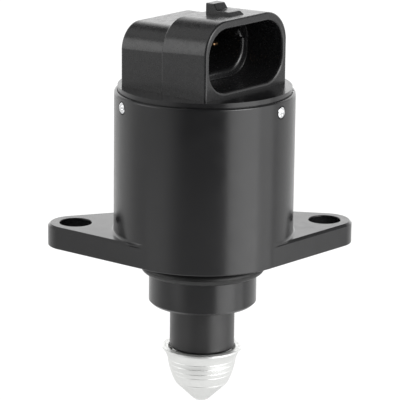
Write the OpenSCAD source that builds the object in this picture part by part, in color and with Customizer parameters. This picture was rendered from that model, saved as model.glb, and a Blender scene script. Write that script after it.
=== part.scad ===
// Idle air control valve. A small stepping motor turns a threaded rotor hub, which slides a
// pintle out of the spigot to throttle the air that by-passes an engine's closed throttle.
// Millimetres. +Z points up the body axis, from the pintle to the connector. The origin is
// where that axis meets the underside of the flange, and the connector's mouth faces -Y.

/* [Housing] */
// Outside diameter of the round body
body_d = 35.5; // [32:0.1:42]
// Height of the body's rim above the flange's underside
body_h = 32.8; // [31:0.1:40]
// Wall beside the motor
body_wall = 1.75; // [1.3:0.05:2.5]
// Wall of the rim, round the cap
rim_wall = 0.8; // [0.6:0.05:1.2]
// Depth of the rim's counterbore, down to the seal
rim_depth = 5.1; // [4.8:0.1:6]
// Chamfer on the rim's outer edge
rim_chamfer = 0.25; // [0.1:0.05:0.5]
// Thickness of the floor under the motor
floor_t = 3; // [2:0.1:5]

/* [Flange] */
// Thickness of the flange and its two ears
ear_t = 4.5; // [3:0.1:7]
// Distance between the two bolt holes
hole_spacing = 50; // [46:0.5:60]
// How far the bolt line lies behind the body axis
hole_offset = 6.5; // [0:0.1:9]
// Diameter of each bolt hole
hole_d = 6.4; // [4.2:0.1:7]
// Radius of each ear's rounded end
ear_r = 5.5; // [5:0.1:8]
// Turn of the bolt line about the body axis, from +X
ear_turn = -45; // [-60:1:-30]
// Fillet between the top of the ears and the body
ear_fillet = 1.3; // [0.3:0.1:2]
// Diameter of the relief in the flange's face, round the ring
relief_d = 26; // [25.4:0.2:29]
// Depth of that relief
relief_depth = 0.3; // [0.1:0.05:0.6]

/* [Spigot and ring] */
// Diameter of the spigot that enters the intake
spigot_d = 21.4; // [20.4:0.1:24]
// Length of the spigot below the flange
spigot_l = 10.2; // [9.5:0.1:14]
// Chamfer round the spigot's end
spigot_chamfer = 0.5; // [0.2:0.1:1]
// Depth of the ring's groove in the spigot
groove_depth = 0.55; // [0.3:0.05:0.8]
// Width of the ring's groove, from the flange down
groove_w = 3.8; // [3:0.1:4.5]
// Thickness of the round-section rubber ring
o_ring_t = 2.2; // [1.6:0.1:2.6]
// Thickness of the lip that holds the guide in the spigot
nose_t = 1.4; // [1:0.1:2]

/* [Pintle guide] */
// Outside diameter of the guide sleeve
guide_d = 12.9; // [12:0.1:13.4]
// Length of the sleeve below the spigot
guide_l = 9.4; // [7:0.1:12]
// Bore of the sleeve, round the spring
guide_bore_d = 10.6; // [9.6:0.1:11.2]
// Thickness of the guide's shoulder inside the spigot
guide_flange_t = 2; // [1.2:0.1:3]
// Thickness of the web with the keyed hole
guide_web_t = 2.7; // [1.5:0.1:4]
// Chamfer round the sleeve's end
guide_chamfer = 0.5; // [0.2:0.1:0.8]

/* [Pintle] */
// Diameter of the pintle's lip
lip_d = 15.9; // [15:0.1:18]
// Height of the lip's straight edge
lip_t = 0.4; // [0.2:0.1:1]
// Height of the hollow flare below the lip
flare_h = 2.5; // [1.5:0.1:4]
// Diameter at the foot of the flare
neck_d = 13.6; // [13:0.1:14.4]
// Slope of the side at the neck, from the axis
neck_lean = 8; // [0:1:12]
// Height of the bulging part below the neck
bulge_h = 4.7; // [3:0.1:7]
// Diameter at the foot of the bulge
shoulder_d = 10.5; // [9:0.1:12]
// Half angle of the cone below the bulge
cone_angle = 46; // [35:1:55]
// Radius of the rounded tip
tip_r = 2.6; // [1.5:0.1:3.4]
// Diameter of the dish in the pintle's top
dish_d = 13.5; // [13.3:0.1:14]
// Depth of the dish
dish_depth = 1.3; // [0.8:0.1:1.6]
// How far the guide's end stands inside the dish when the pintle is drawn in
dish_entry = 0.2; // [0:0.1:0.4]

/* [Lead screw] */
// Diameter of the screw
screw_d = 4.9; // [4:0.1:5]
// Height of the flat's face from the screw's axis
screw_flat = 1.9; // [1.5:0.05:2]
// Length of the screw's end held in the pintle
screw_hold = 6.6; // [4:0.1:7]
// How far the screw's end lies below the upper stator's top
screw_gap = 2; // [1:0.1:4]
// Running clearance round the screw, on the radius
screw_clear = 0.05; // [0.02:0.01:0.08]

/* [Spring] */
// Thickness of the spring's wire
wire_d = 0.6; // [0.4:0.05:0.8]
// Diameter through the middle of the wire
spring_d = 8.4; // [7:0.1:9]
// Number of turns
spring_turns = 7; // [5:1:9]

/* [Rotor] */
// Outside diameter of the magnet
magnet_d = 12; // [11:0.1:13]
// Bore of the magnet, on the hub
magnet_bore_d = 9.2; // [8.6:0.1:10]
// Gap left above and below the magnet in the motor
magnet_gap = 1; // [0.6:0.1:2]
// Diameter of the hub's front journal, in the bearing
journal_d = 8; // [7.4:0.1:8.4]
// Diameter of the hub's rear journal, in the bush
rear_journal_d = 6.6; // [6:0.1:7]
// Diameter of the hub's shoulder on the bearing
hub_shoulder_d = 10; // [9.4:0.1:10.6]
// How far the hub's rear shoulder lies below the upper stator's top
hub_drop = 0.4; // [0.2:0.1:0.8]

/* [Bearing] */
// Outside diameter of the ball bearing
bearing_d = 16; // [15:0.1:17]
// Width of the ball bearing
bearing_w = 5; // [4:0.1:6]
// Diameter of each ball
ball_d = 2.6; // [2:0.1:2.8]
// Number of balls
ball_count = 7; // [5:1:8]
// Clearance between the balls and the races
ball_clear = 0.03; // [0.02:0.01:0.06]
// Radial gap between the two races
race_gap = 1.2; // [0.8:0.1:1.6]
// Height of the cage's edge above and below the balls
cage_edge = 0.5; // [0.3:0.05:0.6]
// Thickness of the ring that keeps the bearing down
retainer_t = 1; // [0.6:0.1:2]
// Width of that ring
retainer_w = 1.3; // [0.8:0.1:2]

/* [Stators] */
// Space left for the wave washer above the upper stator
washer_space = 2.2; // [1.8:0.1:3]
// Thickness of the steel of the cups and pole plates
steel_t = 1; // [0.7:0.05:1.3]
// Number of claws on each cup and plate
claw_count = 6; // [4:1:8]
// Width of a claw at its root
claw_root_w = 2.9; // [2:0.1:3.2]
// Width of a claw at its tip
claw_tip_w = 1.5; // [1:0.1:2]
// Thickness of each claw
claw_t = 0.9; // [0.6:0.05:1.1]
// Gap between a claw's tip and the plate it points at
claw_end_gap = 0.9; // [0.5:0.1:2]
// Air gap between the magnet and the claws
air_gap = 0.35; // [0.3:0.05:0.6]
// Wall of the bobbins
bobbin_wall = 0.8; // [0.6:0.1:1.2]
// Wire space left unfilled below the bobbins' edge
coil_gap = 0.6; // [0.2:0.1:1.5]

/* [Cap] */
// Thickness of the rubber seal under the cap
seal_t = 0.8; // [0.5:0.1:1.2]
// How far the cap's plate stands above the rim
cap_rise = 0.5; // [0.3:0.1:2]
// Thickness of the cap's plate
cap_plate_t = 2.5; // [1.8:0.1:3.5]
// Height of each of the two steps round the plate's edge
cap_step = 0.9; // [0.5:0.1:1.2]
// Width of each step round the plate's edge
cap_step_w = 0.15; // [0.05:0.05:0.4]
// Wall of the cap's skirt, inside the rim
skirt_wall = 2.9; // [2.4:0.1:4]
// Diameter of the boss that holds the rear bush
boss_d = 12; // [11:0.1:13]
// Diameter of the rear bush
bush_d = 9; // [8.6:0.1:9.6]
// Height of the rear bush
bush_h = 4; // [3:0.1:4.3]
// How far the bush stands out of its boss
bush_proud = 0.4; // [0.2:0.1:0.8]
// Thickness of the thrust washer under the bush
thrust_t = 0.5; // [0.3:0.05:0.8]
// Thickness of the wave washer's strip
wave_t = 0.4; // [0.3:0.05:0.6]
// Width of the wave washer's strip
wave_w = 2.8; // [1.5:0.1:3.5]

/* [Locking pins] */
// Number of pins that lock the cap in the body
pin_count = 3; // [2:1:6]
// Diameter of each pin
pin_d = 2.2; // [1.4:0.1:2.4]
// Depth of the pins' row below the rim
pin_drop = 2.15; // [2:0.05:3]
// Height of each domed head outside the body
pin_proud = 0.45; // [0.15:0.05:0.6]
// Length of each pin inside the body's surface
pin_l = 2.6; // [2:0.1:3]
// Turn of the first pin from +X
pin_turn = -84; // [-90:1:-75]

/* [Connector block] */
// Width of the block behind the hood
block_w = 24; // [20:0.1:24.5]
// Height of the block's roof at its back, above the cap
block_h = 12.8; // [11:0.1:14]
// Distance of the block's back face behind the axis
block_back = 11.4; // [10:0.1:12]
// Rounding of the block's upper edges
block_r = 4.6; // [2:0.1:6]
// Rise of the block's roof towards the hood, in degrees
block_slope = 1.3; // [0:0.1:4]

/* [Connector hood] */
// Width of the hood
hood_w = 24.6; // [21:0.1:25]
// Height of the hood's roof at its back, above the cap
hood_h = 14.9; // [14:0.1:17]
// Distance of the mouth in front of the axis
hood_front = 10.4; // [9.5:0.1:11]
// Distance of the hood's back edge behind the axis
hood_back = 0.8; // [0:0.1:3]
// Rounding of the hood's upper edges
hood_r = 5.8; // [4:0.1:7]
// Rise of the hood's roof towards the mouth, in degrees
hood_slope = 2.2; // [0:0.1:4]

/* [Socket] */
// Width of the socket at the mouth
socket_w = 22; // [18:0.1:22.4]
// Height of the socket at the mouth
socket_h = 12.2; // [10:0.1:12.6]
// Height of the socket's floor above the cap
socket_floor = 1.45; // [1:0.05:2.5]
// Rounding of the socket's corners
socket_r = 5; // [3:0.1:5.5]
// Depth of the socket down to its ledge
socket_l = 8.9; // [8:0.1:11]
// Width of the step round the mouth
mouth_step = 0.3; // [0.2:0.1:0.5]
// Width of the ledge
ledge_w = 1.6; // [1:0.1:2.2]
// Depth of the inner pocket behind the ledge
pocket_l = 8; // [5:0.1:9]
// Width and height of the key rib on the pocket's side
key_rib = 1.5; // [0.8:0.1:2]
// Height of the key rib's underside above the socket's middle
key_rib_rise = 1.6; // [1:0.1:2.4]

/* [Latch tab] */
// Width of the latch tab and its rib
tab_w = 3.4; // [2:0.1:6]
// Length of the tab's flat top
tab_l = 2; // [1:0.1:4]
// Height of the tab above the back of the hood
tab_h = 2.2; // [1.5:0.1:3]
// Distance from the hood's back edge to the tab
tab_back = 2.1; // [1:0.1:4]
// Length of the steep front of the tab
tab_ramp = 0.9; // [0.4:0.1:2]
// Height of the low rib in front of the tab
tab_rib_h = 1; // [0.5:0.1:1.4]
// Length of the low rib up to its own ramp
tab_rib_l = 2.8; // [1.5:0.1:4]
// Length of the rib's front ramp
tab_rib_ramp = 1.8; // [1:0.1:3]

/* [Terminals] */
// Distance between terminals
terminal_pitch = 3.5; // [3:0.1:4.2]
// Width of each blade
blade_w = 1.6; // [1.2:0.1:2.2]
// Thickness of each blade
blade_t = 0.8; // [0.5:0.1:1]
// Distance of the blades' tips behind the ledge
blade_set_back = 3.2; // [0.2:0.1:4]
// Distance of the terminals' legs behind the axis
leg_back = 8.8; // [8:0.1:9.4]
// Length of each leg below the cap's plate
leg_l = 2.2; // [1:0.1:2.6]

/* [Hidden] */
$fn = 96;

// One node for each terminal
terminal_count = 4;
// Sides of the spring's wire, and rings of them in each turn
wire_sides = 8;
turn_steps = 18;
// Depth of the foot of the block and the hood inside the cap's plate
bar_foot = 1;

// Clearance of pieces that are pushed or glued together, on the radius
fit = 0.02;
// Clearance of the cap and the stators in the body, on the radius
slip = 0.1;
// Overlap of cutting solids past the face that they open
past = 0.5;

body_r = body_d / 2;
chamber_r = body_r - body_wall;
rim_bore_r = body_r - rim_wall;
spigot_r = spigot_d / 2;
groove_r = spigot_r - groove_depth;
bearing_r = bearing_d / 2;
screw_r = screw_d / 2;
guide_r = guide_d / 2;

// Heights from the spigot's end up to the cap
spigot_end_z = -spigot_l;
guide_seat_z = spigot_end_z + nose_t;
bearing_z = guide_seat_z + guide_flange_t;
bearing_top_z = bearing_z + bearing_w;
guide_web_z = bearing_z - guide_web_t;
guide_end_z = spigot_end_z - guide_l;
rim_seat_z = body_h - rim_depth;
skirt_z = rim_seat_z + seal_t;
stator_z = floor_t;
stator_top_z = skirt_z - washer_space;
stator_h = (stator_top_z - stator_z) / 2;
cap_z = body_h + cap_rise;
cap_under_z = cap_z - cap_plate_t;
pin_z = body_h - pin_drop;

// Pintle profile, from the lip down
lip_z = guide_end_z + dish_entry;
dish_floor_z = lip_z - dish_depth;
flare_z = lip_z - lip_t;
neck_z = flare_z - flare_h;
shoulder_z = neck_z - bulge_h;
lip_lean = 2 * atan((lip_d - neck_d) / 2 / flare_h) - neck_lean;
flare_arc_r = flare_h / (sin(lip_lean) - sin(neck_lean));
shoulder_lean = 2 * atan((neck_d - shoulder_d) / 2 / bulge_h) - neck_lean;
bulge_arc_r = bulge_h / (sin(shoulder_lean) - sin(neck_lean));
tip_centre_z = shoulder_z - (shoulder_d / 2 - tip_r * cos(cone_angle)) / tan(cone_angle)
    + tip_r * sin(cone_angle);

// Rotor, from the bearing up to the bush
thrust_z = stator_top_z - hub_drop;
bush_z = thrust_z + thrust_t + slip;
magnet_z = stator_z + magnet_gap;
magnet_top_z = stator_top_z - magnet_gap;
ball_ring_r = (journal_d / 2 + bearing_r) / 2;
screw_top_z = stator_top_z - screw_gap;

// Spring, between the dish and the guide's web, with its first and last turns closed
spring_low_z = dish_floor_z + wire_d / 2 + fit;
spring_high_z = guide_web_z - wire_d / 2 - fit;
closed_rise = wire_d + fit;
open_rise = (spring_high_z - spring_low_z - 2 * closed_rise) / (spring_turns - 2);

// Stators
claw_r = magnet_d / 2 + air_gap;
claw_out_r = claw_r + claw_t;
stator_r = chamber_r - slip;
bobbin_r = stator_r - steel_t - slip;
bobbin_core_r = claw_out_r + slip;
bobbin_h = stator_h - 2 * steel_t - 2 * fit;
claw_l = stator_h - 2 * steel_t - claw_end_gap;
claw_turn = 180 / claw_count;

// Connector
skirt_r = rim_bore_r - slip;
plate_r = skirt_r - cap_step_w;
socket_z = cap_z + socket_floor;
socket_mid_z = socket_z + socket_h / 2;
ledge_y = socket_l - hood_front;
pocket_w = socket_w - 2 * ledge_w;
pocket_h = socket_h - 2 * ledge_w;
pocket_r = socket_r - ledge_w;
pocket_end_y = ledge_y + pocket_l;
tab_y = hood_back - tab_back;

// Points of an arc about a centre, from one angle to another
function arc(x, y, r, from, to, steps = 12) =
    [for (i = [0 : steps]) let (a = from + (to - from) * i / steps) [x + r * cos(a), y + r * sin(a)]];

// Bolt pattern and flange outline

module at_ears() {
    for (side = [-1, 1])
        rotate([0, 0, ear_turn])
            translate([side * hole_spacing / 2, hole_offset, 0])
                children();
}

// One ear: its end circle, and the web between the lines that touch both circles
module ear_outline(side) {
    reach = norm([hole_spacing / 2, hole_offset]);
    bearing = atan2(hole_offset, side * hole_spacing / 2);
    lean = acos((body_r - ear_r) / reach);
    centre = reach * [cos(bearing), sin(bearing)];
    translate(centre) circle(r = ear_r);
    polygon([
        [0, 0],
        body_r * [cos(bearing - lean), sin(bearing - lean)],
        centre + ear_r * [cos(bearing - lean), sin(bearing - lean)],
        centre + ear_r * [cos(bearing + lean), sin(bearing + lean)],
        body_r * [cos(bearing + lean), sin(bearing + lean)]
    ]);
}

// Both ears, from inside the body's wall outwards, so that the relief stays open
module ears(height) {
    rotate([0, 0, ear_turn])
        for (side = [-1, 1])
            linear_extrude(height)
                difference() {
                    ear_outline(side);
                    circle(r = relief_d / 2 + past);
                }
}

// Solid ring that fills the corner between the ears' top and the body
module ear_fillet_ring() {
    rotate_extrude()
        polygon(concat(
            [[body_r - past, ear_t - past], [body_r + ear_fillet, ear_t - past]],
            arc(body_r + ear_fillet, ear_t + ear_fillet, ear_fillet, 270, 180, 8),
            [[body_r - past, ear_t + ear_fillet]]
        ));
}

// Housing: body, flange and spigot in one casting

module housing_outside() {
    rotate_extrude()
        polygon([
            [0, spigot_end_z],
            [spigot_r - spigot_chamfer, spigot_end_z],
            [spigot_r, spigot_end_z + spigot_chamfer],
            [spigot_r, -groove_w],
            [groove_r, -groove_w],
            [groove_r, relief_depth],
            [relief_d / 2, relief_depth],
            [relief_d / 2, 0],
            [body_r, 0],
            [body_r, body_h - rim_chamfer],
            [body_r - rim_chamfer, body_h],
            [0, body_h]
        ]);
    ears(ear_t);
    intersection() {
        ears(ear_t + ear_fillet);
        ear_fillet_ring();
    }
}

// Stepped bore: guide hole, bearing seat, motor chamber and rim counterbore
module housing_inside() {
    rotate_extrude()
        polygon([
            [0, spigot_end_z - past],
            [guide_r + fit, spigot_end_z - past],
            [guide_r + fit, guide_seat_z],
            [bearing_r + fit, guide_seat_z],
            [bearing_r + fit, floor_t],
            [chamber_r, floor_t],
            [chamber_r, rim_seat_z],
            [rim_bore_r, rim_seat_z],
            [rim_bore_r, body_h + past],
            [0, body_h + past]
        ]);
}

module at_pins() {
    for (i = [0 : pin_count - 1])
        rotate([0, 0, pin_turn + i * 360 / pin_count])
            translate([0, 0, pin_z])
                rotate([0, 90, 0])
                    children();
}

module housing() {
    color("#1c1c1e")
        difference() {
            housing_outside();
            housing_inside();
            at_ears() translate([0, 0, -past]) cylinder(d = hole_d, h = ear_t + 2 * past);
            at_pins() translate([0, 0, body_r - pin_l]) cylinder(d = pin_d + 2 * slip, h = pin_l + past);
        }
}

module flange_o_ring() {
    ring_r = groove_r + fit + o_ring_t / 2;
    color("#141414")
        translate([0, 0, -groove_w + o_ring_t / 2])
            rotate_extrude()
                translate([ring_r, 0]) circle(d = o_ring_t, $fn = 48);
}

// Pintle, its guide, screw and spring

// Round bar with one flat, the section of the screw and of its hole
module keyed_section(r, flat) {
    intersection() {
        circle(r = r);
        translate([-r - past, -r - past]) square([2 * (r + past), r + past + flat]);
    }
}

module pintle_guide() {
    color("#202021")
        difference() {
            rotate_extrude()
                polygon([
                    [0, guide_end_z],
                    [guide_r - guide_chamfer, guide_end_z],
                    [guide_r, guide_end_z + guide_chamfer],
                    [guide_r, guide_seat_z],
                    [bearing_r, guide_seat_z],
                    [bearing_r, bearing_z],
                    [0, bearing_z]
                ]);
            translate([0, 0, guide_end_z - past])
                cylinder(d = guide_bore_d, h = guide_web_z - guide_end_z + past);
            translate([0, 0, guide_web_z - past])
                linear_extrude(guide_web_t + 2 * past)
                    keyed_section(screw_r + screw_clear, screw_flat + screw_clear);
        }
}

module pintle() {
    color("#d4d6d8")
        difference() {
            rotate_extrude()
                polygon(concat(
                    [[0, lip_z], [lip_d / 2, lip_z]],
                    arc(neck_d / 2 + flare_arc_r * cos(neck_lean), neck_z - flare_arc_r * sin(neck_lean),
                        flare_arc_r, 180 - lip_lean, 180 - neck_lean, 16),
                    arc(neck_d / 2 - bulge_arc_r * cos(neck_lean), neck_z + bulge_arc_r * sin(neck_lean),
                        bulge_arc_r, -neck_lean, -shoulder_lean, 20),
                    arc(0, tip_centre_z, tip_r, -cone_angle, -90, 16)
                ));
            translate([0, 0, dish_floor_z])
                rotate_extrude()
                    polygon([[0, 0], [dish_d / 2 - dish_depth / 2, 0], [dish_d / 2, dish_depth],
                        [dish_d / 2, dish_depth + past], [0, dish_depth + past]]);
            translate([0, 0, dish_floor_z - screw_hold])
                cylinder(r = screw_r + fit, h = screw_hold + past);
        }
}

module lead_screw() {
    color("#9a9da1")
        union() {
            translate([0, 0, dish_floor_z - screw_hold])
                cylinder(r = screw_r, h = screw_hold + slip);
            translate([0, 0, dish_floor_z + slip])
                linear_extrude(screw_top_z - dish_floor_z - slip) keyed_section(screw_r, screw_flat);
        }
}

// Height of the spring's wire after a number of turns
function spring_z(turn) =
    turn < 1 ? spring_low_z + turn * closed_rise
    : turn > spring_turns - 1 ? spring_high_z - (spring_turns - turn) * closed_rise
    : spring_low_z + closed_rise + (turn - 1) * open_rise;

// Faces of a tube of rings, each ring of m points, open ended or closed on itself
function tube_faces(rings, m, closed) =
    let (last = closed ? rings - 1 : rings - 2)
    concat(
        [for (i = [0 : last], j = [0 : m - 1]) let (k = (i + 1) % rings, n = (j + 1) % m)
            [i * m + j, i * m + n, k * m + n]],
        [for (i = [0 : last], j = [0 : m - 1]) let (k = (i + 1) % rings, n = (j + 1) % m)
            [i * m + j, k * m + n, k * m + j]],
        closed ? [] : [[for (j = [m - 1 : -1 : 0]) j], [for (j = [0 : m - 1]) (rings - 1) * m + j]]
    );

module anti_backlash_spring() {
    rings = spring_turns * turn_steps + 1;
    points = [for (i = [0 : rings - 1], j = [0 : wire_sides - 1])
        let (turn = i / turn_steps, a = 360 * turn, b = 360 * j / wire_sides,
            r = spring_d / 2 + wire_d / 2 * cos(b))
        [r * cos(a), r * sin(a), spring_z(turn) + wire_d / 2 * sin(b)]];
    color("#b8bbbf") polyhedron(points, tube_faces(rings, wire_sides, false), convexity = 8);
}

// Ball bearing that carries the rotor's front journal

module race_groove() {
    translate([0, 0, bearing_z + bearing_w / 2])
        rotate_extrude()
            translate([ball_ring_r, 0]) circle(r = ball_d / 2 + ball_clear, $fn = 48);
}

module tube(outer, inner, height) {
    difference() {
        cylinder(r = outer, h = height);
        translate([0, 0, -past]) cylinder(r = inner, h = height + 2 * past);
    }
}

module bearing_outer_race() {
    color("#c0c3c6")
        difference() {
            translate([0, 0, bearing_z]) tube(bearing_r, ball_ring_r + race_gap / 2, bearing_w);
            race_groove();
        }
}

module bearing_inner_race() {
    color("#c0c3c6")
        difference() {
            translate([0, 0, bearing_z + slip])
                tube(ball_ring_r - race_gap / 2, journal_d / 2 + fit, bearing_w - slip);
            race_groove();
        }
}

module at_balls() {
    for (i = [0 : ball_count - 1])
        rotate([0, 0, i * 360 / ball_count])
            translate([ball_ring_r, 0, bearing_z + bearing_w / 2])
                children();
}

module bearing_balls() {
    color("#dfe1e3") at_balls() sphere(d = ball_d);
}

module bearing_cage() {
    color("#b08d3a")
        difference() {
            translate([0, 0, bearing_z + bearing_w / 2 - ball_d / 2 - cage_edge])
                tube(ball_ring_r + race_gap / 4, ball_ring_r - race_gap / 4, ball_d + 2 * cage_edge);
            at_balls() sphere(r = ball_d / 2 + ball_clear);
        }
}

module bearing_retainer() {
    color("#8f9296")
        translate([0, 0, bearing_top_z]) tube(bearing_r, bearing_r - retainer_w, retainer_t);
}

// Rotor: magnet on a threaded hub, between the bearing and the rear bush

module rotor_hub() {
    color("#c9bfa2")
        rotate_extrude()
            polygon([
                [screw_r + screw_clear, bearing_z + slip],
                [journal_d / 2, bearing_z + slip],
                [journal_d / 2, bearing_top_z],
                [hub_shoulder_d / 2, bearing_top_z],
                [hub_shoulder_d / 2, magnet_z],
                [magnet_bore_d / 2 - fit, magnet_z],
                [magnet_bore_d / 2 - fit, thrust_z],
                [rear_journal_d / 2, thrust_z],
                [rear_journal_d / 2, bush_z + bush_h - slip],
                [screw_r + screw_clear, bush_z + bush_h - slip]
            ]);
}

module rotor_magnet() {
    color("#3a3634")
        translate([0, 0, magnet_z])
            tube(magnet_d / 2, magnet_bore_d / 2, magnet_top_z - magnet_z);
}

module thrust_washer() {
    color("#e8e4d8")
        translate([0, 0, thrust_z]) tube(bush_d / 2 - slip, rear_journal_d / 2 + fit, thrust_t);
}

module rear_bush() {
    color("#a9793f")
        translate([0, 0, bush_z])
            tube(bush_d / 2, rear_journal_d / 2 + screw_clear, bush_h);
}

// Claw-pole stators. Each is drawn standing on the floor and placed by at_stator()

module at_stator(upper) {
    if (upper)
        translate([0, 0, stator_top_z])
            rotate([0, 0, claw_turn / 2])
                mirror([0, 0, 1]) children();
    else
        translate([0, 0, stator_z]) children();
}

// Round plate with a bore and a ring of tapered claws, bent up out of it
module clawed_plate(outer_r) {
    difference() {
        union() {
            cylinder(r = outer_r, h = steel_t);
            intersection() {
                cylinder(r = claw_out_r, h = steel_t + claw_l);
                for (i = [0 : claw_count - 1])
                    rotate([0, 0, i * 2 * claw_turn])
                        translate([claw_r - past, 0, 0])
                            rotate([90, 0, 90])
                                linear_extrude(claw_t + 2 * past) claw_outline();
            }
        }
        translate([0, 0, -past]) cylinder(r = claw_r, h = steel_t + claw_l + 2 * past);
    }
}

module claw_outline() {
    polygon([
        [-claw_root_w / 2, steel_t / 2], [claw_root_w / 2, steel_t / 2], [claw_root_w / 2, steel_t],
        [claw_tip_w / 2, steel_t + claw_l], [-claw_tip_w / 2, steel_t + claw_l],
        [-claw_root_w / 2, steel_t]
    ]);
}

module stator_cup(upper) {
    color("#a3a6a8")
        at_stator(upper) {
            tube(stator_r, stator_r - steel_t, stator_h);
            clawed_plate(stator_r - steel_t / 2);
        }
}

module pole_plate(upper) {
    color("#b3b6b8")
        at_stator(upper)
            translate([0, 0, stator_h])
                rotate([0, 0, claw_turn])
                    mirror([0, 0, 1]) clawed_plate(stator_r - steel_t - fit);
}

module bobbin(upper) {
    color("#ded8c4")
        at_stator(upper)
            translate([0, 0, steel_t + fit])
                difference() {
                    tube(bobbin_r, bobbin_core_r, bobbin_h);
                    translate([0, 0, bobbin_wall])
                        tube(bobbin_r + past, bobbin_core_r + bobbin_wall, bobbin_h - 2 * bobbin_wall);
                }
}

module coil(upper) {
    color("#b5672c")
        at_stator(upper)
            translate([0, 0, steel_t + fit + bobbin_wall + fit])
                tube(bobbin_r - coil_gap, bobbin_core_r + bobbin_wall + fit,
                    bobbin_h - 2 * bobbin_wall - 2 * fit);
}

module lower_stator_cup() { stator_cup(false); }
module lower_pole_plate() { pole_plate(false); }
module lower_bobbin() { bobbin(false); }
module lower_coil() { coil(false); }
module upper_stator_cup() { stator_cup(true); }
module upper_pole_plate() { pole_plate(true); }
module upper_bobbin() { bobbin(true); }
module upper_coil() { coil(true); }

// Spring washer with three waves, between the upper stator and the cap's skirt
module wave_washer() {
    rings = 72;
    waves = 3;
    outer = stator_r - slip;
    low_z = stator_top_z + wave_t / 2 + fit;
    high_z = skirt_z - wave_t / 2 - fit;
    points = [for (i = [0 : rings - 1])
        let (a = 360 * i / rings, z = (low_z + high_z) / 2 + (high_z - low_z) / 2 * cos(waves * a))
        for (corner = [[-wave_w, -wave_t / 2], [0, -wave_t / 2], [0, wave_t / 2], [-wave_w, wave_t / 2]])
            [(outer + corner[0]) * cos(a), (outer + corner[0]) * sin(a), z + corner[1]]];
    color("#8f9296") polyhedron(points, tube_faces(rings, 4, true), convexity = 8);
}

module cap_seal() {
    color("#121212")
        translate([0, 0, rim_seat_z]) tube(rim_bore_r - fit, chamber_r + fit, seal_t);
}

// Connector cap: plate, skirt, block and hood in one moulding

// Wall with a flat foot and two rounded upper corners, standing on y = 0
module arch_outline(w, h, r) {
    translate([-w / 2, 0]) square([w, h - r]);
    translate([-w / 2 + r, 0]) square([w - 2 * r, h]);
    for (side = [-1, 1])
        translate([side * (w / 2 - r), h - r]) circle(r = r);
}

module rounded_outline(w, h, r) {
    square([w, h - 2 * r], center = true);
    square([w - 2 * r, h], center = true);
    for (x = [-1, 1], y = [-1, 1])
        translate([x * (w / 2 - r), y * (h / 2 - r)]) circle(r = r);
}

// Arched bar from y_back to y_front whose roof rises towards the front by slope degrees
module arched_bar(w, h, r, y_back, y_front, slope) {
    l = y_back - y_front;
    intersection() {
        translate([0, y_back, cap_z - bar_foot])
            rotate([90 - slope, 0, 0])
                translate([0, 0, -past])
                    linear_extrude(l + 2 * past) arch_outline(w, h + bar_foot, r);
        translate([-w / 2 - past, y_front, cap_z - bar_foot])
            cube([w + 2 * past, l, h + 2 * bar_foot + l * sin(slope)]);
    }
}

module cap_body() {
    rotate_extrude()
        polygon([
            [0, cap_under_z],
            [skirt_r - skirt_wall, cap_under_z],
            [skirt_r - skirt_wall, skirt_z],
            [skirt_r, skirt_z],
            [skirt_r, cap_z - 2 * cap_step],
            [plate_r, cap_z - 2 * cap_step],
            [plate_r, cap_z - cap_step],
            [plate_r - cap_step_w, cap_z - cap_step],
            [plate_r - cap_step_w, cap_z],
            [0, cap_z]
        ]);
    translate([0, 0, bush_z + bush_proud]) cylinder(d = boss_d, h = cap_z - bush_z - bush_proud);
}

module latch_tab() {
    top = cap_z + hood_h;
    rib_y = tab_y - tab_l - tab_ramp;
    rib_end_y = rib_y - tab_rib_l;
    translate([-tab_w / 2, 0, 0])
        rotate([90, 0, 90])
            linear_extrude(tab_w)
                polygon([
                    [tab_y, top - past],
                    [tab_y, top + tab_h],
                    [tab_y - tab_l, top + tab_h],
                    [rib_y, top + tab_rib_h],
                    [rib_end_y, top + tab_rib_h],
                    [rib_end_y - tab_rib_ramp, top - past + (hood_back - rib_end_y) * tan(hood_slope)],
                    [rib_end_y, top - past]
                ]);
}

module socket_space() {
    // From the mouth to the ledge, with the step round the mouth
    translate([0, ledge_y, socket_mid_z])
        rotate([90, 0, 0])
            linear_extrude(socket_l + past) rounded_outline(socket_w, socket_h, socket_r);
    translate([0, -hood_front + mouth_step, socket_mid_z])
        rotate([90, 0, 0])
            linear_extrude(mouth_step + past)
                rounded_outline(socket_w + 2 * mouth_step, socket_h + 2 * mouth_step, socket_r + mouth_step);
    // Narrower pocket behind the ledge, with its key rib
    difference() {
        translate([0, pocket_end_y, socket_mid_z])
            rotate([90, 0, 0])
                linear_extrude(pocket_l + past) rounded_outline(pocket_w, pocket_h, pocket_r);
        translate([pocket_w / 2 - key_rib, ledge_y, socket_mid_z + key_rib_rise])
            cube([key_rib + past, pocket_l + past, key_rib]);
    }
}

// Blade in the socket and leg down through the cap, grown by a clearance for its slot
module terminal_form(i, grow) {
    tip_y = ledge_y + blade_set_back;
    end_y = leg_back + blade_t / 2;
    x = (i - (terminal_count - 1) / 2) * terminal_pitch;
    translate([x - blade_w / 2 - grow, tip_y - grow, socket_mid_z - blade_t / 2 - grow])
        cube([blade_w + 2 * grow, end_y - tip_y + 2 * grow, blade_t + 2 * grow]);
    translate([x - blade_w / 2 - grow, end_y - blade_t - grow, cap_under_z - leg_l - grow])
        cube([blade_w + 2 * grow, blade_t + 2 * grow, socket_mid_z + blade_t / 2 - cap_under_z + leg_l + 2 * grow]);
}

module terminal(i) {
    color("#b9874a") terminal_form(i, 0);
}

module terminal_a() { terminal(0); }
module terminal_b() { terminal(1); }
module terminal_c() { terminal(2); }
module terminal_d() { terminal(3); }

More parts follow.
